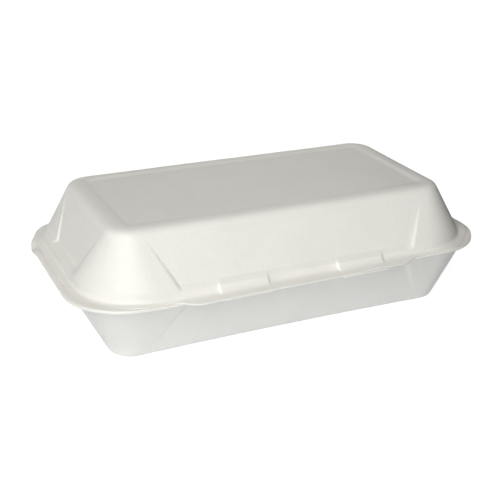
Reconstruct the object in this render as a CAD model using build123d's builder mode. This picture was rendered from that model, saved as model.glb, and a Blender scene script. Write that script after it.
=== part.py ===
# Foam clamshell container: a hinged food box thermoformed from foam sheet, drawn closed.
# Millimetres. X runs along the box, -Y is the front with the lifting tongue, +Y is the hinge side, Z is up.
# The origin lies on the table, under the middle of the tray.
import os
from math import atan2, copysign, cos
from typing import NamedTuple

from build123d import *

# Sheet
wall = 2.2  # foam in the walls, the floor and the top
rim = 1.5  # foam pressed thinner in each rim

# Tray, outside sizes
tray_depth = 36.1  # table to the parting plane, where the two rims meet
mouth_length = 231.5  # outside of the walls, just under the rim
mouth_width = 124.8
mouth_corner = 30.0
tray_end_run = 17.9  # how far each end wall leans in from mouth to floor
tray_side_run = 14.4
floor_corner = 12.0
floor_edge = 6.6  # rounding between the walls and the floor

# Tray rim and the two tabs under the lifting tongue
rim_end = 4.25  # width of the rim beyond the walls
rim_front = 3.1
rim_back = 1.1
rim_corner = 31.0
tab_length = 28.0
tab_reach = 4.2  # beyond the front rim
tab_corner = 1.5

# Lid, outside sizes
lid_height = 32.6  # above the parting plane
skirt_height = 5.6  # upright band above the parting plane
skirt_draft = 0.4
skirt_step = 2.75  # the lid's end walls stand this far inside the tray's
skirt_corner = 34.0
lid_end_run = 16.85  # how far each end wall leans in from skirt to top
lid_side_run = 17.05
top_corner = 11.3
top_edge = 5.5  # rounding between the walls and the top

# Shallow panel in the lid's top
top_border = 8.75  # raised border round it
top_panel_corner = 6.0
top_panel_depth = 1.0

# Lid rim and its lifting tongue
rim_step_end = 2.0  # the lid's rim ends inside the tray's rim
rim_step_front = 1.5
lid_rim_corner = 30.0
tongue_reach = 6.0  # beyond the lid's front rim
tongue_gap = 19.0  # from the rim's rounded corner to the root of the tongue
tongue_flank = 13.0  # length of each slanted flank
tongue_round = 12.0

# Sunk panels in the walls: deepest beside the rims, fading out towards the top and the floor
lid_panel_depth = 2.5
lid_panel_height = 21.3
tray_panel_depth = 1.2
tray_panel_height = 23.0
tray_panel_drop = 3.6  # from the rim to the panel
panel_margin_side = 46.0  # from the end of a side wall to the foot of its panel
panel_margin_end = 42.0
panel_spread = 0.55  # sideways run of a panel's edges for each millimetre of height

# Snap lock, twice: a lug on the tray in a pocket of the lid's skirt
lock_inset = 22.0  # from the end of the tongue's straight edge to the middle of a lock
lug_length = 24.0
lug_thickness = 2.1
lug_height = 2.9
lug_round = 0.8
pocket_skin = 1.35
pocket_round = 1.0
lock_clearance = 0.35

# Fold along the hinge line
fold_inset = 4.0  # from the rim's rounded corner to the end of the fold
fold_radius = 0.9
fold_clearance = 0.3
fold_gap = 0.15  # from the hinge line to the flat back edges of the rims

# Heights and places that follow from these
parting = tray_depth
tray_rim_foot = parting - rim
skirt_top = parting + skirt_height
total_height = parting + lid_height
hinge_y = mouth_width / 2 + rim_back
rim_rear_edge = hinge_y - fold_gap
tray_rim_edge = -mouth_width / 2 - rim_front
lid_rim_edge = tray_rim_edge + rim_step_front
tray_rim_length = mouth_length + 2 * rim_end
lid_rim_length = tray_rim_length - 2 * rim_step_end
lid_rim_straight = lid_rim_length - 2 * lid_rim_corner
fold_length = lid_rim_straight - 2 * fold_inset
tongue_length = lid_rim_straight - 2 * (tongue_gap + tongue_flank)
lock_spacing = tongue_length - 2 * lock_inset
lock_places = [(-lock_spacing / 2, 0), (lock_spacing / 2, 0)]
through = 5.0  # extra length of a cut that goes right through


# A rounded rectangle at a height, and the walls between two of them

class Section(NamedTuple):
    z: float
    length: float
    width: float
    corner: float


def at_height(low, high, z):
    share = (z - low.z) / (high.z - low.z)
    return Section(*(a + (b - a) * share for a, b in zip(low, high)))


def moved_in(section, inset):
    size = (section.length - 2 * inset, section.width - 2 * inset)
    return Section(section.z, *size, section.corner - inset)


def level_thickness(low, high):
    # A leaning wall is thicker along the level than through the sheet.
    lean = atan2(abs(low.width - high.width) / 2, abs(high.z - low.z))
    return wall / cos(lean)


def walled_form(*sections, closed_edge, closed_at_top):
    with BuildPart() as form:
        for pair in zip(sections, sections[1:]):
            for section in pair:
                with BuildSketch(Plane.XY.offset(section.z)):
                    RectangleRounded(section.length, section.width, section.corner)
            loft(ruled=True)
        fillet(form.edges().group_by(Axis.Z)[-1 if closed_at_top else 0], closed_edge)
    return form.part


# What a sunk panel takes from a front wall. A skin gives the inner side of the same panel in a sheet that thick.

def panel_wedge(foot_z, fade_z, foot_reach, fade_reach, foot_half, skin):
    rise = fade_z - foot_z
    slope = (fade_reach - foot_reach) / rise
    near_z = foot_z - copysign(wall, rise) if skin else foot_z
    outside = max(foot_reach, fade_reach) + 2 * lid_panel_depth + through

    def reach(z):
        return foot_reach + slope * (z - foot_z) - skin

    def half(z):
        return foot_half + copysign(panel_spread, rise) * (z - foot_z) + skin

    with BuildPart() as wedge:
        with BuildSketch(Plane.YZ):
            with BuildLine():
                Polyline(
                    (-reach(near_z), near_z), (-reach(fade_z), fade_z),
                    (-outside, fade_z), (-outside, near_z), close=True,
                )
            make_face()
        extrude(amount=half(fade_z), both=True)
        with BuildSketch(Plane.XZ):
            with BuildLine():
                Polyline(
                    (-half(near_z), near_z), (-half(fade_z), fade_z),
                    (half(fade_z), fade_z), (half(near_z), near_z), close=True,
                )
            make_face()
        extrude(amount=outside, mode=Mode.INTERSECT)
    return wedge.part


# The form with its four panels sunk: foot and fade are the wall's sections at the two ends of a panel.

def with_panels(form, foot, fade, depth, skin=0.0):
    side = panel_wedge(
        foot.z, fade.z, foot.width / 2 - depth, fade.width / 2, foot.length / 2 - panel_margin_side, skin
    )
    end = panel_wedge(
        foot.z, fade.z, foot.length / 2 - depth, fade.length / 2, foot.width / 2 - panel_margin_end, skin
    )
    with BuildPart() as body:
        add(form)
        for wedge, turns in ((side, (0, 180)), (end, (90, 270))):
            for turn in turns:
                add(wedge, rotation=(0, 0, turn), mode=Mode.SUBTRACT)
    return body.part


# Tray: its outside, its hollow, then the rim, the tabs, the lugs and the fold

tray_floor = Section(
    0, mouth_length - 2 * tray_end_run, mouth_width - 2 * tray_side_run, floor_corner
)
tray_mouth = Section(tray_rim_foot, mouth_length, mouth_width, mouth_corner)
tray_skin = level_thickness(tray_floor, tray_mouth)
tray_panel_foot = at_height(tray_floor, tray_mouth, tray_rim_foot - tray_panel_drop)
tray_panel_fade = at_height(tray_floor, tray_mouth, tray_panel_foot.z - tray_panel_height)

tray_outside = with_panels(
    walled_form(tray_floor, tray_mouth, closed_edge=floor_edge, closed_at_top=False),
    tray_panel_foot, tray_panel_fade, tray_panel_depth,
)
tray_hollow = with_panels(
    walled_form(
        moved_in(at_height(tray_floor, tray_mouth, wall), tray_skin),
        moved_in(at_height(tray_floor, tray_mouth, parting), tray_skin),
        closed_edge=floor_edge - wall, closed_at_top=False,
    ),
    tray_panel_foot, tray_panel_fade, tray_panel_depth, tray_skin,
)

lug_back = moved_in(at_height(tray_floor, tray_mouth, parting), tray_skin).width / 2
lug_front = lug_back + lug_thickness

with BuildPart() as lug:
    with BuildSketch(Plane.XY.offset(parting)):
        with Locations((0, -(lug_back + lug_front) / 2)):
            Rectangle(lug_length, lug_thickness)
    extrude(amount=lug_height)
    fillet(lug.faces().sort_by(Axis.Z)[-1].edges(), lug_round)

with BuildPart() as tray:
    add(tray_outside)
    with BuildSketch(Plane.XY.offset(tray_rim_foot)) as tray_rim:
        with Locations((0, (tray_rim_edge + rim_rear_edge) / 2)):
            RectangleRounded(tray_rim_length, rim_rear_edge - tray_rim_edge, rim_corner)
        with Locations(*((x, tray_rim_edge) for x, _ in lock_places)):
            Rectangle(tab_length, 2 * tab_reach)
        fillet(tray_rim.vertices().group_by(Axis.Y)[0], tab_corner)
    extrude(amount=rim)
    add(tray_hollow, mode=Mode.SUBTRACT)
    with Locations(*lock_places):
        add(lug.part)
    with BuildSketch(Plane.YZ.offset(-fold_length / 2)):
        with Locations((hinge_y, parting)):
            Circle(fold_radius)
    extrude(amount=fold_length)

# Lid: its outside, its hollow, then the rim with the tongue, the lock pockets and the room for the fold

skirt_foot = Section(
    parting, mouth_length - 2 * skirt_step, mouth_width, skirt_corner
)
skirt_edge = moved_in(skirt_foot._replace(z=skirt_top), skirt_draft)
lid_top = Section(
    total_height, skirt_edge.length - 2 * lid_end_run, skirt_edge.width - 2 * lid_side_run, top_corner
)
lid_skin = level_thickness(skirt_edge, lid_top)
lid_panel_fade = at_height(skirt_edge, lid_top, skirt_top + lid_panel_height)
top_panel = Section(
    total_height, lid_top.length - 2 * top_border, lid_top.width - 2 * top_border, top_panel_corner
)

lid_outside = with_panels(
    walled_form(skirt_foot, skirt_edge, lid_top, closed_edge=top_edge, closed_at_top=True),
    skirt_edge, lid_panel_fade, lid_panel_depth,
)
lid_core = with_panels(
    walled_form(
        moved_in(skirt_foot, lid_skin),
        moved_in(skirt_edge, lid_skin),
        moved_in(at_height(skirt_edge, lid_top, total_height - wall), lid_skin),
        closed_edge=top_edge - wall, closed_at_top=True,
    ),
    skirt_edge, lid_panel_fade, lid_panel_depth, lid_skin,
)

with BuildPart() as lid_hollow:
    add(lid_core)
    with BuildSketch(Plane.XY.offset(total_height - wall)):
        RectangleRounded(top_panel.length + 2 * wall, top_panel.width + 2 * wall, top_panel.corner + wall)
    extrude(amount=-top_panel_depth, mode=Mode.SUBTRACT)

pocket_inner = lug_front + lock_clearance
pocket_outer = pocket_inner + pocket_skin
pocket_room = lug_length + 2 * lock_clearance

with BuildPart() as pocket:
    with BuildSketch(Plane.XY.offset(parting)):
        with Locations((0, -(lug_back + pocket_outer) / 2)):
            Rectangle(pocket_room + 2 * pocket_skin, pocket_outer - lug_back)
    extrude(amount=skirt_height)
    fillet(pocket.faces().sort_by(Axis.Y)[0].edges().sort_by(Axis.Z)[1:], pocket_round)

with BuildPart() as lid:
    add(lid_outside)
    with BuildSketch(Plane.XY.offset(parting)) as lid_rim:
        with Locations((0, (lid_rim_edge + rim_rear_edge) / 2)):
            RectangleRounded(lid_rim_length, rim_rear_edge - lid_rim_edge, lid_rim_corner)
        with BuildLine():
            Polyline(
                (-tongue_length / 2, lid_rim_edge - tongue_reach),
                (-tongue_length / 2 - tongue_flank, lid_rim_edge),
                (tongue_length / 2 + tongue_flank, lid_rim_edge),
                (tongue_length / 2, lid_rim_edge - tongue_reach),
                close=True,
            )
        make_face()
        front_corners = lid_rim.vertices().group_by(Axis.Y)
        fillet(front_corners[0] + front_corners[1].sort_by(Axis.X)[1:-1], tongue_round)
    extrude(amount=rim)
    with Locations(*lock_places):
        add(pocket.part)
    with BuildSketch(Plane.XY.offset(total_height)):
        RectangleRounded(top_panel.length, top_panel.width, top_panel.corner)
    extrude(amount=-top_panel_depth, mode=Mode.SUBTRACT)
    add(lid_hollow.part, mode=Mode.SUBTRACT)
    with BuildSketch(Plane.XY.offset(parting)):
        with Locations(*((x, -pocket_inner) for x, _ in lock_places)):
            Rectangle(pocket_room, pocket_inner - lug_back + through, align=(Align.CENTER, Align.MIN))
    extrude(amount=lug_height + lock_clearance, mode=Mode.SUBTRACT)
    with BuildSketch(Plane.YZ.offset(-fold_length / 2 - fold_clearance)):
        with Locations((hinge_y, parting)):
            Circle(fold_radius + fold_clearance)
    extrude(amount=fold_length + 2 * fold_clearance, mode=Mode.SUBTRACT)

os.makedirs("parts", exist_ok=True)
tray.part.label = "tray"
export_step(tray.part, "parts/tray.step")
lid.part.label = "lid"
export_step(lid.part, "parts/lid.step")
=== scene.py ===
from math import atan, cos, pi, radians, sin

import bmesh
import bpy
import numpy as np
from mathutils import Matrix, Vector


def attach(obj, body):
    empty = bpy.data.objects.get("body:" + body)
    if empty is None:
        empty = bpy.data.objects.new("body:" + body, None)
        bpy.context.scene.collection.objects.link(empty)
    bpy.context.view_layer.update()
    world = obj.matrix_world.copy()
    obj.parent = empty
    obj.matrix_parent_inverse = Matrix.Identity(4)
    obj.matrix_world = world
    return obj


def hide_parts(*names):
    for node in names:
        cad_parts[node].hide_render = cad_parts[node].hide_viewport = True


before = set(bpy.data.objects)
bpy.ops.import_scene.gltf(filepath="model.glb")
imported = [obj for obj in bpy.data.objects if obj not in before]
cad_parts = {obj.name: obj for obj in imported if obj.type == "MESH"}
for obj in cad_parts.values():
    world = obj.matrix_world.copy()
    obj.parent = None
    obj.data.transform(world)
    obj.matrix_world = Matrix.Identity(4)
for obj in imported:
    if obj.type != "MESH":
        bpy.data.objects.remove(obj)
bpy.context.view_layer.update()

millimetre = 0.001  # every size of the box below is in millimetres

sheet = {
    "wall": 2.2,  # foam in the walls, the floor and the top
    "rim": 1.1,  # foam pressed thinner in the rims
    "rimEdge": 0.8,  # and thinner still along their edges
    "endEdgeFrom": 66.0, "endEdgeRun": 12.0,  # where along the front the edge takes the thickness of the ends
    "pressedReach": 1.2, "pressedRun": 1.4,  # how far beside a rim the foam is pressed too, and how softly that ends
    "parting": 36.1,  # where the two rims meet
    "panelSpread": 0.55,  # sideways run of a panel's edges per millimetre of height
    "panelBand": 2.0,  # columns this near a panel's edge follow it
    "bandSteps": (-1, -0.7, -0.45, -0.2, 0, 0.2, 0.45, 0.7, 1),  # columns across that band
    "bandClear": 0.25,  # and the room that other columns leave beside it
    "cornerClear": 0.8, "panelShare": 0.6,  # a panel ends this far before a corner, or at this share of the side
    "weld": 2e-7, "sliver": 1e-7,  # metres, for the finished meshes
}

# Rounded rectangles


def section(z, halfLong, halfWide, corner, midY=0.0):
    return np.array([z, halfLong, halfWide, corner, midY], float)


def sectionAt(low, high, z):
    return low + (high - low) * (z - low[0]) / (high[0] - low[0])


def movedIn(ring, inset):
    return ring - np.array([0, inset, inset, inset, 0])


def straightPart(ring, clear=(0, 0)):
    return ring[1] - ring[3] - clear[0], ring[2] - ring[3] - clear[1]


def levelThickness(low, high):
    lean = atan(abs(low[2] - high[2]) / abs(high[0] - low[0]))
    return sheet["wall"] / cos(lean)


def smooth(t):
    t = np.clip(t, 0, 1)
    return t * t * (3 - 2 * t)


# Columns stand round the box: front, right end, back, left end, each with the corner that follows it

sides = [
    (np.array([1.0, 0.0]), np.array([0.0, -1.0])),  # along the side, and out of it
    (np.array([0.0, 1.0]), np.array([1.0, 0.0])),
    (np.array([-1.0, 0.0]), np.array([0.0, 1.0])),
    (np.array([0.0, -1.0]), np.array([-1.0, 0.0])),
]


class Columns:
    def __init__(self, form, panelHalf, straightHalf):
        self.panelHalf, self.straightHalf = panelHalf, straightHalf
        longStations, shortStations, cornerSteps = form["stations"], form["endStations"], form["cornerSteps"]
        longStations = self.withEdge(longStations, panelHalf[0])
        shortStations = self.withEdge(shortStations, panelHalf[1])
        turn, station, sweep = [], [], []
        for k in range(4):
            half = (longStations, shortStations)[k % 2]
            row = [-q for q in reversed(half) if q > 0] + list(half)
            bends = [(j + 1) / (cornerSteps + 1) for j in range(cornerSteps)]
            turn += [k] * (len(row) + cornerSteps)
            station += row + [np.nan] * cornerSteps
            sweep += [0.0] * len(row) + bends
        self.turn, self.station, self.sweep = np.array(turn), np.array(station), np.array(sweep)
        self.isBend = np.isnan(self.station)
        self.offset = np.nan_to_num(self.station)  # from the middle of a side, 0 in the corners
        self.count = len(turn)
        self.out = np.zeros((self.count, 2))
        for k, (along, out) in enumerate(sides):
            mine = self.turn == k
            angle = self.sweep[mine] * pi / 2
            self.out[mine] = np.outer(np.cos(angle), out) + np.outer(np.sin(angle), along)
        # 1 inside a sunk panel, 0 outside, with a soft step between
        self.front = (self.turn == 0) & ~self.isBend
        frontRight = self.front & (self.offset > 0)
        reach = self.perSide(*panelHalf) - np.abs(self.offset)
        edge = np.full(self.count, form["panelEdge"])  # half the width of the soft step
        for which, (inset, softness) in zip((self.front & ~frontRight, frontRight), form["frontEdges"]):
            reach, edge = np.where(which, reach - inset, reach), np.where(which, softness, edge)
        self.panel = np.where(self.isBend, 0, smooth((reach + edge) / (2 * edge)))
        bulge = np.sin(self.sweep * pi) ** 2
        self.backBend = np.where((self.turn == 1) | (self.turn == 2), bulge, 0)
        self.frontBend = bulge - self.backBend
        # 1 along the ends and round the front corners, 0 in the middle of the front and along the back
        fromMiddle = smooth((np.abs(self.offset) - sheet["endEdgeFrom"]) / sheet["endEdgeRun"])
        self.atEnds = np.select(
            [self.front, self.turn == 1, self.turn == 2], [fromMiddle, 1 - self.sweep, self.sweep], 1.0
        )
        self.atRight = frontRight | (self.turn == 1) | ((self.turn == 0) & self.isBend)

    def withEdge(self, stations, edge):
        steps = [edge + sheet["panelBand"] * f for f in sheet["bandSteps"]]
        apart = [q for q in stations if abs(q - edge) > sheet["panelBand"] + sheet["bandClear"]]
        return sorted(apart + steps)

    def place(self, ring, panelHalf=None):
        z, halfLong, halfWide, corner, midY = ring
        points = np.zeros((self.count, 3))
        for k, (along, out) in enumerate(sides):
            reach = halfLong if k % 2 else halfWide
            straight = (halfWide if k % 2 else halfLong) - corner
            panelRef, straightRef = self.panelHalf[k % 2], self.straightHalf[k % 2]
            panelMost = max(straight - sheet["cornerClear"], sheet["panelShare"] * straight)
            panelNow = min((panelHalf or self.panelHalf)[k % 2], panelMost)
            band = min(sheet["panelBand"], (straight - panelNow) / 2)
            knots = [0, panelRef - sheet["panelBand"], panelRef + sheet["panelBand"], straightRef]
            places = [0, panelNow - band, panelNow + band, straight]
            flat = (self.turn == k) & ~self.isBend
            q = self.station[flat]
            t = np.sign(q) * np.interp(np.abs(q), knots, places)
            points[flat, :2] = np.outer(t, along) + reach * out
            bend = (self.turn == k) & self.isBend
            points[bend, :2] = straight * along + (reach - corner) * out + corner * self.out[bend]
        points[:, 1] += midY
        points[:, 2] = z
        return points

    def pushed(self, points, amount):
        moved = points.copy()
        moved[:, :2] += self.out * np.broadcast_to(amount, (self.count,))[:, None]
        return moved

    def rimOutline(self, halfLong, front, back, corner):
        return self.place(section(sheet["parting"], halfLong, (back - front) / 2, corner, (back + front) / 2))

    def edgeThickness(self, endEdge):
        return sheet["rimEdge"] + (np.where(self.atRight, *endEdge) - sheet["rimEdge"]) * self.atEnds

    def endShare(self, run):
        # 1 along the ends: it fades out in front of their panels, and behind them round the corner
        isEnd = (self.turn % 2 == 1) & ~self.isBend
        ahead = self.offset * (self.turn - 2)  # how far a column of an end stands to the front
        fading = 1 - np.maximum(ahead - self.panelHalf[1], 0) / run
        aside = np.where(self.turn == 1, 1 - 2 * self.sweep, np.where(self.turn == 2, 2 * self.sweep - 1, 0))
        return smooth(np.where(isEnd, fading, np.where(self.isBend, aside, 0)))

    def perSide(self, longValue, shortValue):
        return np.where(self.turn % 2 == 0, longValue, shortValue)


def mixed(a, b, share):
    share = np.asarray(share, float)
    return a + (b - a) * (share[:, None] if share.ndim else share)


# One profile per column, with its corners rounded: stops are (points, radius, arc steps, rows before it), and
# for a wide rounding the share of the flat after it that it may take

roundings = {
    "least": 0.08, "most": 0.46,  # shares of the shorter flat beside it that a rounding takes
    "flatEnd": 0.8,  # a row this near to a rounding keeps the flat flat
}


def roundedRows(stops):
    rows, last = [stops[0][0]], stops[0][0]
    for k in range(1, len(stops)):
        corner, radius, arcSteps, rowsBefore = stops[k][:4]
        share = stops[k][4] if len(stops[k]) > 4 else None
        if k == len(stops) - 1:
            start, arc = corner, [corner]
        else:
            back, ahead = stops[k - 1][0] - corner, stops[k + 1][0] - corner
            backLong = np.linalg.norm(back, axis=1, keepdims=True)
            aheadLong = np.linalg.norm(ahead, axis=1, keepdims=True)
            back, ahead = back / backLong, ahead / aheadLong
            turning = np.arccos(np.clip(-(back * ahead).sum(1, keepdims=True), -1, 1))
            shorter = np.minimum(backLong, aheadLong)
            trim = np.maximum(radius * np.tan(turning / 2), roundings["least"] * shorter)
            limit = roundings["most"] * (shorter if share is None else backLong)
            start = corner + back * np.minimum(trim, limit)
            end = corner + ahead * np.minimum(trim, limit if share is None else share * aheadLong)
            arc = []
            for j in range(arcSteps + 1):
                f = j / arcSteps
                arc.append(start * (1 - f) ** 2 + corner * 2 * f * (1 - f) + end * f ** 2)
        span = np.linalg.norm(start - last, axis=1, keepdims=True)
        near = np.minimum(roundings["flatEnd"], span / (rowsBefore + 1)) / span
        for j in range(rowsBefore):
            f = near + (1 - 2 * near) * (j / (rowsBefore - 1) if rowsBefore > 1 else 0.5)
            rows.append(last + (start - last) * f)
        rows += arc
        last = arc[-1]
    return rows


def closingRows(columns, ring, panelHalf, steps):
    outer = columns.place(ring, panelHalf)
    line = columns.place(section(ring[0], ring[1] - ring[2], 0, 0, ring[4]), panelHalf)
    return [mixed(outer, line, f) for f in np.linspace(0, 1, steps + 1)[1:]]


def shellMesh(name, rows, pressed):
    count = len(rows[0])
    mesh = bpy.data.meshes.new(name)
    points = np.concatenate(rows) * millimetre
    faces = []
    for r in range(len(rows) - 1):
        for c in range(count):
            d = (c + 1) % count
            faces.append((r * count + c, r * count + d, (r + 1) * count + d, (r + 1) * count + c))
    mesh.from_pydata(points.tolist(), [], faces)
    attribute = mesh.attributes.new("pressed", "FLOAT", "POINT")
    attribute.data.foreach_set("value", np.concatenate(pressed).astype(np.float32))
    work = bmesh.new()
    work.from_mesh(mesh)
    bmesh.ops.remove_doubles(work, verts=work.verts, dist=sheet["weld"])
    bmesh.ops.dissolve_degenerate(work, edges=work.edges, dist=sheet["sliver"])
    bmesh.ops.recalc_face_normals(work, faces=work.faces)
    for face in work.faces:
        face.smooth = True
    openEdges = sum(not edge.is_manifold for edge in work.edges)
    work.to_mesh(mesh)
    work.free()
    piece = bpy.data.objects.new(name, mesh)
    bpy.context.scene.collection.objects.link(piece)
    print(name, "rows", len(rows), "columns", count, "faces", len(mesh.polygons), "open edges", openEdges)
    return piece


# Nodes: settings of a node by name, and its inputs by name or number, each a value or another node's output


def addNode(tree, kind, inputs=None, **settings):
    made = tree.nodes.new(kind)
    for key, value in settings.items():
        setattr(made, key, value)
    for key, value in (inputs or {}).items():
        if isinstance(value, bpy.types.NodeSocket):
            tree.links.new(value, made.inputs[key])
        else:
            made.inputs[key].default_value = value
    return made


def mathNode(tree, operation, *values):
    return addNode(tree, "ShaderNodeMath", dict(enumerate(values)), operation=operation).outputs[0]


def freshTree(owner):
    owner.use_nodes = True
    owner.node_tree.nodes.clear()
    return owner.node_tree


# Foam finish

foamFinish = {
    "pale": (0.90, 0.893, 0.838), "shade": (0.865, 0.858, 0.80),
    "clouds": (26.0, 3, 0.55), "grain": (2.4, 4, 0.6),  # size, detail, roughness of the noise
    "cellSize": 0.75, "cellSoftness": 0.35,
    "grainInTone": 0.45, "toneRange": (0.45, 1.0),  # grain over the clouds, and what of it runs from pale to shade
    "roughness": (0.40, 0.56), "roughRange": (0.1, 0.75), "pressedPolish": -0.35,
    "bump": 0.05, "grainInRelief": 1.4, "pressedRelief": 0.45,
    "gloss": 0.45,
    "glow": 0.10, "glowColour": (1.0, 0.95, 0.85), "glowDepth": 1.2,  # light under the surface
}


def foamMaterial(settings):
    material = bpy.data.materials.new("pressedFoam")
    tree = freshTree(material)
    place = tree.nodes.new("ShaderNodeTexCoord").outputs["Object"]

    def noise(size, detail, roughness):
        inputs = {"Vector": place, "Scale": 1 / (size * millimetre), "Detail": detail, "Roughness": roughness}
        return addNode(tree, "ShaderNodeTexNoise", inputs).outputs["Fac"]

    def mapped(value, fromRange, toRange):
        names = ("From Min", "From Max", "To Min", "To Max")
        inputs = {"Value": value, **dict(zip(names, (*fromRange, *toRange)))}
        return addNode(tree, "ShaderNodeMapRange", inputs).outputs["Result"]

    clouds, grain = noise(*settings["clouds"]), noise(*settings["grain"])
    pressed = addNode(tree, "ShaderNodeAttribute", attribute_name="pressed").outputs["Fac"]

    # colour: slow clouds with a fine mottle over them
    mottle = mathNode(tree, "MULTIPLY_ADD", grain, settings["grainInTone"], clouds)
    colour = addNode(tree, "ShaderNodeMix", {
        "Factor": mapped(mottle, settings["toneRange"], (0, 1)),
        "A": (*settings["pale"], 1), "B": (*settings["shade"], 1),
    }, data_type="RGBA").outputs["Result"]

    # roughness: satin skin, smoother where the sheet is pressed
    polish = mathNode(tree, "MULTIPLY_ADD", pressed, settings["pressedPolish"], grain)
    satin = mapped(polish, settings["roughRange"], settings["roughness"])

    # relief: foam cells, flattened in the rims
    cells = addNode(tree, "ShaderNodeTexVoronoi", {
        "Vector": place, "Scale": 1 / (settings["cellSize"] * millimetre), "Smoothness": settings["cellSoftness"],
    }, feature="SMOOTH_F1").outputs["Distance"]
    bump = addNode(tree, "ShaderNodeBump", {
        "Distance": settings["bump"] * millimetre,
        "Strength": mapped(pressed, (0, 1), (1, settings["pressedRelief"])),
        "Height": mathNode(tree, "MULTIPLY_ADD", grain, settings["grainInRelief"], cells),
    })

    skin = addNode(tree, "ShaderNodeBsdfPrincipled", {
        "Base Color": colour, "Roughness": satin, "Normal": bump.outputs["Normal"],
        "Specular IOR Level": settings["gloss"], "Subsurface Weight": settings["glow"],
        "Subsurface Radius": settings["glowColour"], "Subsurface Scale": settings["glowDepth"] * millimetre,
    })
    addNode(tree, "ShaderNodeOutputMaterial", {"Surface": skin.outputs["BSDF"]})
    return material


foam = foamMaterial(foamFinish)

# Geometry Nodes: a tree with its named inputs, its noise, and its end


def sizedTree(name, inputs):
    tree = bpy.data.node_groups.new(name, "GeometryNodeTree")
    for socket, kind in inputs.items():
        tree.interface.new_socket(socket, in_out="INPUT", socket_type="NodeSocket" + kind)
    tree.interface.new_socket("Geometry", in_out="OUTPUT", socket_type="NodeSocketGeometry")
    return tree, tree.nodes.new("NodeGroupInput").outputs


def seededNoise(tree, size, seed, **inputs):
    inputs = {"Scale": mathNode(tree, "DIVIDE", 1.0, size), "W": seed, **inputs}
    return addNode(tree, "ShaderNodeTexNoise", inputs, noise_dimensions="4D").outputs


def endTree(tree, geometry, finish):
    real = addNode(tree, "GeometryNodeRealizeInstances", {"Geometry": geometry})
    coated = addNode(tree, "GeometryNodeSetMaterial", {"Geometry": real.outputs["Geometry"], "Material": finish})
    addNode(tree, "NodeGroupOutput", {"Geometry": coated.outputs["Geometry"]})


# The slight unevenness of thermoformed sheet. Both faces of the sheet move together.

unevenness = {
    "amount": 0.45, "size": 42.0, "detail": 1.5, "roughness": 0.4, "seed": 7,
    "levelFoot": 0.6, "levelTop": 9.0,  # the floor stays level
}


def unevenTree(settings):
    tree, given = sizedTree("unevenSheet", {
        "Geometry": "Geometry", "Amount": "Float", "Size": "Float", "Level Foot": "Float", "Level Top": "Float",
        "Seed": "Float", "Finish": "Material",
    })
    place = tree.nodes.new("GeometryNodeInputPosition").outputs["Position"]
    waves = seededNoise(
        tree, given["Size"], given["Seed"],
        Vector=place, Detail=settings["detail"], Roughness=settings["roughness"],
    )
    middle = (0.5, 0.5, 0.5)
    centred = addNode(tree, "ShaderNodeVectorMath", {0: waves["Color"], 1: middle}, operation="SUBTRACT")
    rise = addNode(tree, "ShaderNodeMapRange", {
        "Value": addNode(tree, "ShaderNodeSeparateXYZ", {0: place}).outputs["Z"],
        "From Min": given["Level Foot"], "From Max": given["Level Top"],
    })
    strength = mathNode(tree, "MULTIPLY", rise.outputs["Result"], given["Amount"])
    offset = addNode(tree, "ShaderNodeVectorMath", {0: centred.outputs[0], "Scale": strength}, operation="SCALE")
    moved = addNode(tree, "GeometryNodeSetPosition", {"Geometry": given["Geometry"], "Offset": offset.outputs[0]})
    endTree(tree, moved.outputs["Geometry"], given["Finish"])
    return tree


def applyTree(piece, tree, values):
    modifier = piece.modifiers.new(tree.name, "NODES")
    modifier.node_group = tree
    for item in tree.interface.items_tree:
        if item.item_type == "SOCKET" and item.in_out == "INPUT" and item.name in values:
            modifier[item.identifier] = values[item.name]
    piece.update_tag()
    bpy.context.view_layer.update()
    ready = bpy.data.meshes.new_from_object(piece.evaluated_get(bpy.context.evaluated_depsgraph_get()))
    piece.modifiers.clear()
    old, piece.data = piece.data, ready
    ready.name = piece.name
    bpy.data.meshes.remove(old)


skinTree = unevenTree(unevenness)
skinValues = {
    "Amount": unevenness["amount"] * millimetre, "Size": unevenness["size"] * millimetre,
    "Level Foot": unevenness["levelFoot"] * millimetre, "Level Top": unevenness["levelTop"] * millimetre,
    "Seed": float(unevenness["seed"]), "Finish": foam,
}

# The rims of the real box are not quite level: they hang at the front left and lift at the right end

warp = {
    "front": [  # places along the front, and how far the rims rise there
        (-120, -0.4), (-104, -0.6), (-92, -0.2), (-85, -0.4), (-76, -0.85), (-70, -1.2), (-58, -1.2), (-48, -0.9),
        (-37, -0.6), (-20, -0.65), (0, -0.5), (20, -0.25), (29, -0.05), (38, 0.45), (48, 0.2), (60, 0.3), (80, 0.7),
        (120, 0.7),
    ],
    "frontEnd": 10.0, "frontRun": 60.0,  # the rise of the front ends here, after this run
    "liftFrom": (70.0, -55.0, 62.0), "liftRun": (45.0, 50.0, 16.0),  # of the right end: along, front, back
    "slope": 0.06, "slopeFrom": (116.0, 63.0),  # the rims slope down beyond the skirt
    "reachUp": 5.5, "reachDown": 14.0,  # how far above and below the rims the sheet follows
    "bendReach": 6.1, "bendRun": 4.0,  # the same for a bent place, and how softly it ends
}


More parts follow.
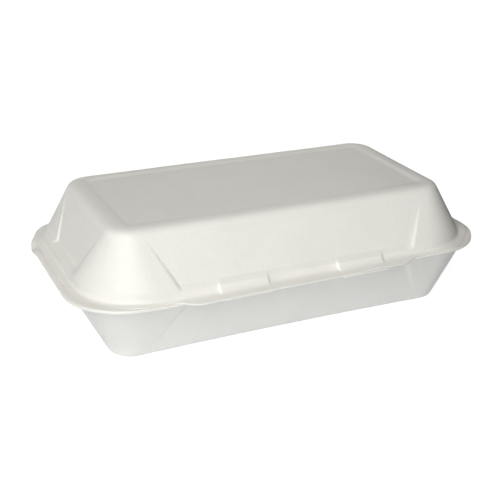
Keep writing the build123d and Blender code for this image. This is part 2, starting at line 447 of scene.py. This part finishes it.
def settle(points, endLift, bends):
    x, y, z = points.T
    above = z - sheet["parting"]
    bent = sum(lift * np.exp(-((x - midX) ** 2 + (y - midY) ** 2) / size ** 2) for midX, midY, size, lift in bends)
    points[:, 2] += bent * smooth((warp["bendReach"] - np.abs(above)) / warp["bendRun"])
    nearRim = smooth(1 - np.where(above > 0, above / warp["reachUp"], -above / warp["reachDown"]))
    beyond = np.maximum(-warp["slopeFrom"][1] - y, 0) + np.maximum(np.abs(x) - warp["slopeFrom"][0], 0)
    rise = np.interp(x, *zip(*warp["front"])) * smooth((warp["frontEnd"] - y) / warp["frontRun"])
    along, front, back = warp["liftFrom"]
    lift = endLift
    for inside, run in zip((x - along, y - front, back - y), warp["liftRun"]):
        lift = lift * smooth(inside / run)
    points[:, 2] += nearRim * (rise + lift - warp["slope"] * beyond)


# Lid: skirt, sunk wall panels, shallow top panel, rim with the lifting tongue, two lock blocks

lidForm = {
    "height": 32.6, "skirtHeight": 5.6, "skirtFoot": (113.0, 62.4, 34.0), "skirtDraft": 0.4,
    "top": (95.75, 44.95, 11.3), "topEdge": 9.0,
    "topClear": (5.0, 0.8),  # columns of the top stay clear of its corners
    "panelDepth": (1.4, 1.3),  # long sides, ends
    "hollow": 3.4, "hollowRun": 8.0,  # the walls of the ends start inside the skirt
    "panelHeight": 21.3, "panelFoot": (68.7, 20.0), "panelEdge": 0.8,
    "frontEdges": ((0.2, 1.1), (1.1, 1.2)),  # left and right ends of the front panel: moved in by, softness
    "ledgeDrop": (1.3, 0.3), "ledgeRise": (0.9, 0.0),  # the ledge under a panel slopes out, at the ends hardly
    "shoulderDrop": 0.35, "wallRise": 0.45,  # beside the panels the skirt turns into the wall between these two
    "topPanel": (87.2, 37.4, 5.0), "topPanelDepth": 0.8, "topPanelStep": 1.5, "closingSteps": (6, 8),
    "rim": (118.0, -64.3, 63.35, 30.0),  # half length, front and back edges, corner
    "frontCorner": 2.4, "backCorner": -1.4, "rimShift": 0.9,  # how far the rim stands in at its corners, and aside
    "endLift": 2.6,  # of the rim at the right
    "endEdge": (0.6, 0.6),  # edge of the rim at the right and left ends and the front corners
    "bends": [(117.0, -44.0, 12.0, 1.3)],  # x, y, size and lift where the rim is bent
    "tongueReach": 5.7, "tongueFull": 56.0, "tongueRoot": 69.8, "tongueLeft": 3.8,  # it starts earlier at the left
    "blockEnds": (20.3, 47.7), "blockReach": (2.0, 0.8), "blockSlope": 0.8,  # reach at the foot and at the top
    "roomEnds": (21.65, 46.35), "roomReach": 63.05, "roomHeight": 3.25,  # for the lugs, behind the blocks
    "roomSlope": 0.35, "roomSlant": 0.2, "roomFade": 0.25,  # of its ends, of its roof, of the wall beside it
    "stations": [
        0, 7, 14, 19.5, 19.9, 20.3, 20.7, 21.1, 21.3, 21.65, 22.0, 27, 34, 41, 46.0, 46.35, 46.7,
        46.9, 47.3, 47.7, 48.1, 48.5, 51, 53.4, 54.7, 56, 57.3, 58.6, 60.5, 62.5, 64.2, 69, 70.3, 71.6,
        74, 76.5, 79,
    ],
    "endStations": [0, 5, 10, 14.5, 24, 26, 28.4],
    "cornerSteps": 22,
}


def within(values, ends):
    return np.minimum(np.abs(values) - ends[0], ends[1] - np.abs(values))


def band(values, ends, slope):
    return smooth((within(values, ends) + slope) / (2 * slope))


def lidRows(form):
    parting, wall, rim = sheet["parting"], sheet["wall"], sheet["rim"]
    skirtTop, top = parting + form["skirtHeight"], parting + form["height"]
    foot = section(parting, *form["skirtFoot"])
    edge = movedIn(foot, form["skirtDraft"])
    edge[0] = skirtTop
    crown = section(top, *form["top"])
    fadeZ = skirtTop + form["panelHeight"]
    fade = sectionAt(edge, crown, fadeZ)
    skin = levelThickness(edge, crown)
    columns = Columns(form, form["panelFoot"], straightPart(foot))

    def panelHalf(z, grown=0.0):
        return tuple(half + sheet["panelSpread"] * (z - skirtTop) + grown for half in form["panelFoot"])

    panel = columns.panel
    block = np.where(columns.front, band(columns.offset, form["blockEnds"], form["blockSlope"]), 0)
    room = np.where(columns.front, band(columns.offset, form["roomEnds"], form["roomSlope"]), 0)

    # rim outline with the tongue
    outline = columns.rimOutline(*form["rim"])
    tongueSpan = form["tongueRoot"] - form["tongueFull"]
    fromRoot = form["tongueRoot"] - np.abs(outline[:, 0]) + np.where(outline[:, 0] < 0, form["tongueLeft"], 0)
    tongue = smooth(fromRoot / tongueSpan) * columns.front
    cornerInset = form["frontCorner"] * columns.frontBend + form["backCorner"] * columns.backBend
    outline = columns.pushed(outline, form["tongueReach"] * tongue - cornerInset) + [form["rimShift"], 0, 0]
    outlineTop = outline + np.outer(columns.edgeThickness(form["endEdge"]), [0, 0, 1])

    # outside, from the rim up
    skirtFoot = columns.pushed(columns.place(sectionAt(foot, edge, parting + rim)), form["blockReach"][0] * block)
    shoulder = columns.pushed(columns.place(edge), form["blockReach"][1] * block)
    shoulder[:, 2] -= form["shoulderDrop"] + (columns.perSide(*form["ledgeDrop"]) - form["shoulderDrop"]) * panel
    hollow = form["hollow"] * columns.endShare(form["hollowRun"])
    footHalf = panelHalf(skirtTop)
    plain = columns.pushed(columns.place(sectionAt(edge, crown, skirtTop + form["wallRise"]), footHalf), -hollow)
    sunkFeet = [columns.place(sectionAt(edge, crown, skirtTop + rise), footHalf) for rise in form["ledgeRise"]]
    depth = columns.perSide(*form["panelDepth"])
    sunkFoot = columns.pushed(mixed(*sunkFeet, columns.turn % 2), -depth - hollow)
    ledge = mixed(plain, sunkFoot, panel)
    fadePoints = columns.place(fade, panelHalf(fadeZ))
    topHalf = straightPart(crown, form["topClear"])
    crownPoints = columns.place(crown, topHalf)
    panelLong, panelWide, panelCorner = form["topPanel"]
    step = form["topPanelStep"]
    border = section(top, panelLong + step, panelWide + step, panelCorner + step)
    dish = section(top - form["topPanelDepth"], panelLong - step, panelWide - step, panelCorner - step)
    dishHalf = straightPart(dish, form["topClear"])

    # inside, from the rim up
    roomZ = parting + form["roomHeight"]
    innerFoot = movedIn(foot, skin)
    innerEdge = movedIn(edge, skin)
    roomPush = (form["roomReach"] - innerFoot[2]) * room
    mouth = columns.pushed(columns.place(innerFoot), roomPush)
    slantZ = roomZ - form["roomSlant"]
    roomTop = columns.pushed(columns.place(sectionAt(innerFoot, innerEdge, slantZ)), roomPush)
    roomTop[:, 2] += form["roomSlant"] * room
    roomBack = columns.place(sectionAt(innerFoot, innerEdge, roomZ))
    roomBack[:, 2] += form["roomFade"] * (1 - room)
    ledgeZ = skirtTop - wall
    innerBand = columns.place(sectionAt(innerFoot, innerEdge, ledgeZ))
    nearHalf = panelHalf(ledgeZ, skin)
    innerPlain = columns.place(innerEdge, nearHalf)

    def innerSink(k):  # how far the inner ledge stands in, on a long side (2) or an end (1)
        sink = form["panelDepth"][2 - k]
        slope = (fade[k] - edge[k] + sink) / form["panelHeight"]
        return innerEdge[k] - (edge[k] - sink + slope * (ledgeZ - skirtTop) - skin)

    sunk = columns.pushed(columns.place(innerEdge, nearHalf), -columns.perSide(innerSink(2), innerSink(1)))
    sunk[:, 2] = ledgeZ
    innerLedge = columns.pushed(mixed(innerPlain, sunk, panel), -hollow)
    innerFade = columns.place(movedIn(fade, skin), panelHalf(fadeZ, skin))
    innerCrown = movedIn(sectionAt(edge, crown, top - wall), skin)
    innerCrownPoints = columns.place(innerCrown, topHalf)
    raised = section(top - wall, panelLong + wall + step, panelWide + wall + step, panelCorner + wall + step)
    sunkZ = top - wall - form["topPanelDepth"]
    sunkTop = section(sunkZ, panelLong + wall - step, panelWide + wall - step, panelCorner + wall - step)

    # once round the sheet: down the inside from the top to the rim, and up the outside
    closeUnder, closeOver = (
        closingRows(columns, ring, dishHalf, steps) for ring, steps in zip((sunkTop, dish), form["closingSteps"])
    )
    profile = roundedRows([
        (columns.place(sunkTop, dishHalf), 0, 0, 0),
        (columns.place(raised, dishHalf), 1.5, 3, 0),
        (innerCrownPoints, form["topEdge"] - wall, 6, 2),
        (innerFade, 6.0, 3, 2),
        (innerLedge, 0.8, 4, 6),
        (innerBand, 0.9, 4, 0),
        (roomBack, 0.3, 2, 1),
        (roomTop, 0.3, 2, 0),
        (mouth, 0.4, 3, 1),
        (outline, 0.3, 2, 3),
        (outlineTop, 0.4, 3, 1),
        (skirtFoot, columns.perSide(3.6, 2.2)[:, None], 6, 3, 0.7),
        (shoulder, columns.perSide(1.6, 3.5)[:, None], 5, 2),
        (ledge, 1.8, 5, 1),
        (fadePoints, 9.0, 4, 9),
        (crownPoints, form["topEdge"], 9, 2, 0.7),
        (columns.place(border, dishHalf), 5.0, 4, 2),
        (columns.place(dish, dishHalf), 5.0, 4, 0),
        (closeOver[0], 0, 0, 1),
    ])
    rows = closeUnder[::-1] + profile + closeOver[1:]
    pressedTop = parting + rim + sheet["pressedReach"]
    pressed = [smooth((pressedTop - row[:, 2]) / sheet["pressedRun"]) for row in rows]
    for row in rows:
        settle(row, form["endLift"], form["bends"])
    return rows, pressed


lidShell = shellMesh("lidShell", *lidRows(lidForm))
applyTree(lidShell, skinTree, skinValues)
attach(lidShell, "lid")
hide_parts("lid")

# Tray: sunk wall panels, rim with two tabs, two lock lugs

trayForm = {
    "mouth": (115.75, 62.4, 30.0), "floor": (97.85, 48.0, 12.0), "floorEdge": 6.6,
    "floorClear": (5.0, 1.0), "closingSteps": 8,  # columns of the floor stay clear of its corners
    "rim": (120.0, -65.3, 63.35, 31.0), "backCorner": 2.0, "endLift": 1.7,
    "endEdge": (1.1, 2.0), "edgeTuck": 0.05,  # right, left; a thick edge slants in by this share
    "bends": [
        (-119.5, 32.5, 5.5, -2.3),  # down at the back left
        (-119.0, -34.0, 14.0, 0.55), (-108.0, -56.0, 16.0, 0.7), (117.0, -44.0, 12.0, 1.3),  # up at the front corners
        (40.0, -70.0, 8.0, -0.3),  # the right tab hangs
    ],
    "footBow": 1.5, "bowHalf": 88.0, "bowTop": 22.0,  # the long walls bow in along the floor
    "bowFrom": 25.0, "bowRun": 18.0,  # and not the ends: from this far off the middle line
    "tabEnds": (20.0, 48.0), "tabReach": (4.5, 5.0), "tabCorner": 1.5,  # reach of the left tab, of the right one
    "lugEnds": (22.0, 46.0), "lugThick": 2.1, "lugHeight": 2.9, "lugRound": 0.8,
    "lugRamp": 0.5, "lugStep": 0.6,  # where there is no lug, its top edge draws back
    "panelDrop": 3.6, "panelHeight": 26.0, "panelDepth": 1.0, "panelMargin": (48.5, 42.0), "panelEdge": 2.0,
    "frontEdges": ((0.0, 2.0), (0.0, 2.0)),
    "innerLedge": (0.3, 0.6), "outerLedge": (0.25, 0.5),  # how far the ledge reaches above and below its line
    "stations": [
        0, 7, 14, 18.5, 19.9, 20.0, 20.15, 20.5, 21.0, 21.5, 21.95, 22.0, 22.2, 22.5, 22.8, 27, 34, 41,
        45.2, 45.5, 45.8, 46.0, 46.05, 46.5, 47.0, 47.5, 47.85, 48.0, 48.1, 51, 55, 59, 62, 70, 73, 77, 81,
        85.75,
    ],
    "endStations": [0, 5, 10, 14, 22, 25, 28.5, 32.4],
    "cornerSteps": 20,
}


def blockHeight(values, ends, full, rounding, slack=1e-6):
    inside = within(values, ends)
    short = np.clip(rounding - inside, 0, rounding)
    height = full - rounding + np.sqrt(rounding ** 2 - short ** 2)
    return np.where(inside < -slack, 0, height)


def trayRows(form):
    parting, wall, rim = sheet["parting"], sheet["wall"], sheet["rim"]
    rimFoot = parting - rim
    floor = section(0, *form["floor"])
    mouth = section(rimFoot, *form["mouth"])
    skin = levelThickness(floor, mouth)
    footZ = rimFoot - form["panelDrop"]
    fadeZ = footZ - form["panelHeight"]
    foot, fade = sectionAt(floor, mouth, footZ), sectionAt(floor, mouth, fadeZ)
    panelFoot = (foot[1] - form["panelMargin"][0], foot[2] - form["panelMargin"][1])
    columns = Columns(form, panelFoot, straightPart(mouth))
    panel = columns.panel

    def panelHalf(z, grown=0.0):
        return tuple(half - sheet["panelSpread"] * (z - footZ) + grown for half in panelFoot)

    # rim outline with the tabs
    outline = columns.rimOutline(*form["rim"])
    tabReach = np.where(columns.offset < 0, *form["tabReach"])
    tab = np.where(columns.front, blockHeight(columns.offset, form["tabEnds"], tabReach, form["tabCorner"]), 0)
    outline = columns.pushed(outline, tab - form["backCorner"] * columns.backBend)
    edge = columns.edgeThickness(form["endEdge"])
    outlineFoot = columns.pushed(outline, form["edgeTuck"] * (sheet["rimEdge"] - edge)) - np.outer(edge, [0, 0, 1])

    # lugs along the mouth
    lug = blockHeight(columns.offset, form["lugEnds"], form["lugHeight"], form["lugRound"])
    lug = np.where(columns.front, lug, 0)
    mouthEdge = columns.place(movedIn(sectionAt(floor, mouth, parting), skin))
    drawnBack = form["lugStep"] * (1 - np.clip(lug / form["lugRamp"], 0, 1))
    lugFoot = columns.pushed(mouthEdge, form["lugThick"])
    lugTop = columns.pushed(mouthEdge, form["lugThick"] - drawnBack) + np.outer(lug, [0, 0, 1])
    lugBack = mouthEdge + np.outer(lug, [0, 0, 1])

    # inside, from the mouth down
    ledgeZ = footZ + wall
    above, below = form["innerLedge"]
    innerBand = columns.place(movedIn(sectionAt(floor, mouth, ledgeZ + above), skin))
    nearHalf = panelHalf(ledgeZ, skin)
    innerPlain = columns.place(movedIn(sectionAt(floor, mouth, ledgeZ - below), skin), nearHalf)
    innerEdge = movedIn(sectionAt(floor, mouth, ledgeZ), skin)

    def innerSink(k):  # how far the inner ledge stands in, on a long side (2) or an end (1)
        slope = (foot[k] - form["panelDepth"] - fade[k]) / form["panelHeight"]
        return innerEdge[k] - (foot[k] - form["panelDepth"] + slope * (ledgeZ - footZ) - skin)

    sunk = columns.pushed(columns.place(innerEdge, nearHalf), -columns.perSide(innerSink(2), innerSink(1)))
    innerLedge = mixed(innerPlain, sunk, panel)
    innerFade = columns.place(movedIn(fade, skin), panelHalf(fadeZ, skin))
    innerFloor = movedIn(sectionAt(floor, mouth, wall), skin)
    floorHalf = straightPart(floor, form["floorClear"])

    # outside, from the rim down
    mouthFoot = columns.place(mouth)
    above, below = form["outerLedge"]
    shoulder = columns.place(sectionAt(floor, mouth, footZ + above))
    plain = columns.place(sectionAt(floor, mouth, footZ - below))
    sunkFoot = columns.pushed(columns.place(foot), -form["panelDepth"])
    ledge = mixed(plain, sunkFoot, panel)
    fadePoints = columns.place(fade, panelHalf(fadeZ))

    # once round the sheet: up the inside from the floor to the rim, and down the outside
    closeOver, closeUnder = (
        closingRows(columns, ring, floorHalf, form["closingSteps"]) for ring in (innerFloor, floor)
    )
    profile = roundedRows([
        (closeOver[0], 0, 0, 0),
        (columns.place(innerFloor, floorHalf), form["floorEdge"] - wall, 6, 1),
        (innerFade, 6.0, 3, 1),
        (innerLedge, 0.8, 4, 8),
        (innerBand, 0.8, 4, 0),
        (lugBack, 0.7, 4, 1),
        (lugTop, 0.6, 3, 1),
        (lugFoot, 0.4, 2, 0),
        (outline, 0.8, 4, 2),
        (outlineFoot, 0.4, 3, 1),
        (mouthFoot, 1.2, 4, 2),
        (shoulder, 1.6, 4, 2),
        (ledge, 1.6, 4, 0),
        (fadePoints, 9.0, 4, 9),
        (columns.place(floor, floorHalf), form["floorEdge"], 9, 3),
        (closeUnder[0], 0, 0, 1),
    ])
    rows = closeOver[:0:-1] + profile + closeUnder[1:]
    pressed = [smooth((row[:, 2] - rimFoot + sheet["pressedReach"]) / sheet["pressedRun"]) for row in rows]
    for row in rows:
        x, y, z = row.T
        bow = np.clip(1 - (x / form["bowHalf"]) ** 2, 0, 1) * smooth(1 - z / form["bowTop"])
        row[:, 1] -= np.sign(y) * form["footBow"] * bow * smooth((np.abs(y) - form["bowFrom"]) / form["bowRun"])
        settle(row, form["endLift"], form["bends"])
    return rows, pressed


trayShell = shellMesh("trayShell", *trayRows(trayForm))
applyTree(trayShell, skinTree, skinValues)
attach(trayShell, "tray")
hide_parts("tray")

# Fold along the hinge line, swept by Geometry Nodes

foldForm = {
    "halfLong": 84.0, "y": 63.5, "z": 36.1, "radius": 0.9, "steps": 240, "ringSteps": 20,
    "wave": 0.10, "waveSize": 7.0, "waveDetail": 2.0, "waveMiddle": 0.62, "seed": 3,  # the pressed web is not even
    "taper": 0.012, "endSize": 0.45, "fullSize": 0.98,  # and tapers at its two ends, over this share of its length
}


def foldTree(settings):
    tree, given = sizedTree("foldSweep", {
        "Half Length": "Float", "Radius": "Float", "Wave": "Float", "Wave Size": "Float", "Seed": "Float",
        "Centre": "Vector", "Steps": "Int", "Finish": "Material",
    })
    ends = []
    for sign in (-1, 1):
        reach = addNode(tree, "ShaderNodeCombineXYZ", {"X": mathNode(tree, "MULTIPLY", given["Half Length"], sign)})
        place = addNode(tree, "ShaderNodeVectorMath", {0: reach.outputs[0], 1: given["Centre"]}, operation="ADD")
        ends.append(place.outputs[0])
    line = addNode(tree, "GeometryNodeCurvePrimitiveLine", {"Start": ends[0], "End": ends[1]})
    dense = addNode(tree, "GeometryNodeResampleCurve", {"Curve": line.outputs["Curve"], "Count": given["Steps"]})
    waves = seededNoise(tree, given["Wave Size"], given["Seed"], Detail=settings["waveDetail"])
    centred = mathNode(tree, "SUBTRACT", waves["Fac"], settings["waveMiddle"])
    swell = mathNode(tree, "MULTIPLY_ADD", centred, given["Wave"], 1.0)
    along = tree.nodes.new("GeometryNodeSplineParameter").outputs["Factor"]
    taper = addNode(tree, "ShaderNodeFloatCurve", {"Value": along})
    points = taper.mapping.curves[0].points
    points[0].location = (0.0, settings["endSize"])
    points[1].location = (1.0, settings["endSize"])
    points.new(settings["taper"], settings["fullSize"])
    points.new(1 - settings["taper"], settings["fullSize"])
    taper.mapping.update()
    ring = addNode(tree, "GeometryNodeCurvePrimitiveCircle", {
        "Resolution": settings["ringSteps"], "Radius": given["Radius"],
    })
    sweep = addNode(tree, "GeometryNodeCurveToMesh", {
        "Curve": dense.outputs["Curve"], "Profile Curve": ring.outputs["Curve"],
        "Scale": mathNode(tree, "MULTIPLY", swell, taper.outputs[0]), "Fill Caps": True,
    })
    soft = addNode(tree, "GeometryNodeSetShadeSmooth", {"Geometry": sweep.outputs["Mesh"]})
    endTree(tree, soft.outputs["Geometry"], given["Finish"])
    return tree


foldWeb = bpy.data.objects.new("foldWeb", bpy.data.meshes.new("foldWeb"))
bpy.context.scene.collection.objects.link(foldWeb)
applyTree(foldWeb, foldTree(foldForm), {
    "Half Length": foldForm["halfLong"] * millimetre, "Radius": foldForm["radius"] * millimetre,
    "Wave": foldForm["wave"], "Wave Size": foldForm["waveSize"] * millimetre, "Seed": float(foldForm["seed"]),
    "Centre": (0.0, foldForm["y"] * millimetre, foldForm["z"] * millimetre),
    "Steps": foldForm["steps"], "Finish": foam,
})
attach(foldWeb, "tray")
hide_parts("tray")
print("pieces:", [(piece.name, len(piece.data.polygons)) for piece in (lidShell, trayShell, foldWeb)])

# Studio, in metres: pale floor that keeps the shadow, white behind, two soft lamps at the front left, a weak one
# behind, and a dark card beside the right end

studio = {
    "floorHalf": 3.0, "floorDrop": 0.0001,
    "floorBounce": (0.82, 0.86, 0.93), "floorShade": 0.42, "floorGlow": 0.93,
    "skyStrength": 0.095, "skyColour": (1.0, 1.0, 1.0),
    "lamps": {  # turn and rise in degrees, size, distance, watts
        "highKey": (-40.0, 45.0, 0.9, 1.5, 11.4),
        "lowKey": (-30.0, 17.0, 0.4, 0.8, 2.05),
        "backFill": (155.0, 4.0, 0.4, 1.2, 0.7),
    },
    "lampColour": (1.0, 0.985, 0.965), "lampAim": (0.0, 0.0, 0.03),
    "cardX": 0.145, "cardY": (-0.12, 0.10), "cardTop": 0.10, "cardShade": 0.02,
}


def seenDirectly(tree):
    rays = tree.nodes.new("ShaderNodeLightPath").outputs
    seen = rays["Is Camera Ray"]
    for name in ("Is Glossy Ray", "Is Transmission Ray"):
        seen = mathNode(tree, "MAXIMUM", seen, rays[name])
    return seen


def picked(tree, unseen, seen, output):
    pick = addNode(tree, "ShaderNodeMixShader", {0: seenDirectly(tree), 1: unseen.outputs[0], 2: seen.outputs[0]})
    addNode(tree, output, {"Surface": pick.outputs[0]})


def stagePlane(name, corners, finish):
    mesh = bpy.data.meshes.new(name)
    mesh.from_pydata(corners, [], [(0, 1, 2, 3)])
    material = bpy.data.materials.new(finish)
    mesh.materials.append(material)
    plane = bpy.data.objects.new(name, mesh)
    bpy.context.scene.collection.objects.link(plane)
    return plane, freshTree(material)


def makeFloor(settings):
    half, z = settings["floorHalf"], -settings["floorDrop"]
    corners = [(-half, -half, z), (half, -half, z), (half, half, z), (-half, half, z)]
    floor, tree = stagePlane("studioFloor", corners, "paleFloor")
    bounce = addNode(tree, "ShaderNodeBsdfDiffuse", {"Color": (*settings["floorBounce"], 1)})
    shade = addNode(tree, "ShaderNodeBsdfDiffuse", {"Color": (*[settings["floorShade"]] * 3, 1)})
    glow = addNode(tree, "ShaderNodeEmission", {"Strength": settings["floorGlow"]})
    both = addNode(tree, "ShaderNodeAddShader", {0: shade.outputs[0], 1: glow.outputs[0]})
    picked(tree, bounce, both, "ShaderNodeOutputMaterial")


def makeCard(settings):
    x, (front, back), top = settings["cardX"], settings["cardY"], settings["cardTop"]
    corners = [(x, front, 0.0), (x, front, top), (x, back, top), (x, back, 0.0)]
    card, tree = stagePlane("sideCard", corners, "darkCard")
    dark = addNode(tree, "ShaderNodeBsdfDiffuse", {"Color": (*[settings["cardShade"]] * 3, 1)})
    addNode(tree, "ShaderNodeOutputMaterial", {"Surface": dark.outputs[0]})
    card.visible_camera = False
    card.visible_shadow = False


def makeSky(settings):
    world = bpy.data.worlds.new("studioSky")
    tree = freshTree(world)
    colour = (*settings["skyColour"], 1)
    light = addNode(tree, "ShaderNodeBackground", {"Color": colour, "Strength": settings["skyStrength"]})
    white = addNode(tree, "ShaderNodeBackground", {"Color": (1, 1, 1, 1), "Strength": 1.0})
    picked(tree, light, white, "ShaderNodeOutputWorld")
    bpy.context.scene.world = world


def direction(turn, rise):
    turn, rise = radians(turn), radians(rise)
    return Vector((sin(turn) * cos(rise), -cos(turn) * cos(rise), sin(rise)))


def makeLamps(settings):
    for name, (turn, rise, size, distance, watts) in settings["lamps"].items():
        way = direction(turn, rise)
        data = bpy.data.lights.new(name, "AREA")
        data.shape = "SQUARE"
        data.size = size
        data.energy = watts
        data.color = settings["lampColour"]
        lamp = bpy.data.objects.new(name, data)
        lamp.location = way * distance + Vector(settings["lampAim"])
        lamp.rotation_euler = way.to_track_quat("Z", "Y").to_euler()
        lamp.visible_camera = False
        bpy.context.scene.collection.objects.link(lamp)


makeFloor(studio)
makeCard(studio)
makeSky(studio)
makeLamps(studio)

# Camera as the photo was taken

viewPoint = {
    "turn": -25.18, "rise": 23.41, "roll": 0.99, "distance": 550.7, "slide": -1.63, "lift": -8.92,
    "target": (0.0, 0.0, 36.0), "lens": 69.008, "sensor": 36.0, "nearest": 10.0,
}


def makeCamera(settings):
    turn, roll = radians(settings["turn"]), radians(settings["roll"])
    back = direction(settings["turn"], settings["rise"])
    right = Vector((cos(turn), sin(turn), 0))
    up = back.cross(right)
    right, up = right * cos(roll) + up * sin(roll), up * cos(roll) - right * sin(roll)
    eye = Vector(settings["target"]) + back * settings["distance"]
    eye = eye + right * settings["slide"] + up * settings["lift"]
    data = bpy.data.cameras.new("photoView")
    data.sensor_width = settings["sensor"]
    data.lens = settings["lens"]
    data.clip_start = settings["nearest"] * millimetre
    camera = bpy.data.objects.new("photoView", data)
    camera.matrix_world = Matrix.Translation(eye * millimetre) @ Matrix((right, up, back)).transposed().to_4x4()
    bpy.context.scene.collection.objects.link(camera)
    bpy.context.scene.camera = camera


makeCamera(viewPoint)
bpy.context.scene.view_settings.view_transform = "Standard"
print("studio and camera ready")
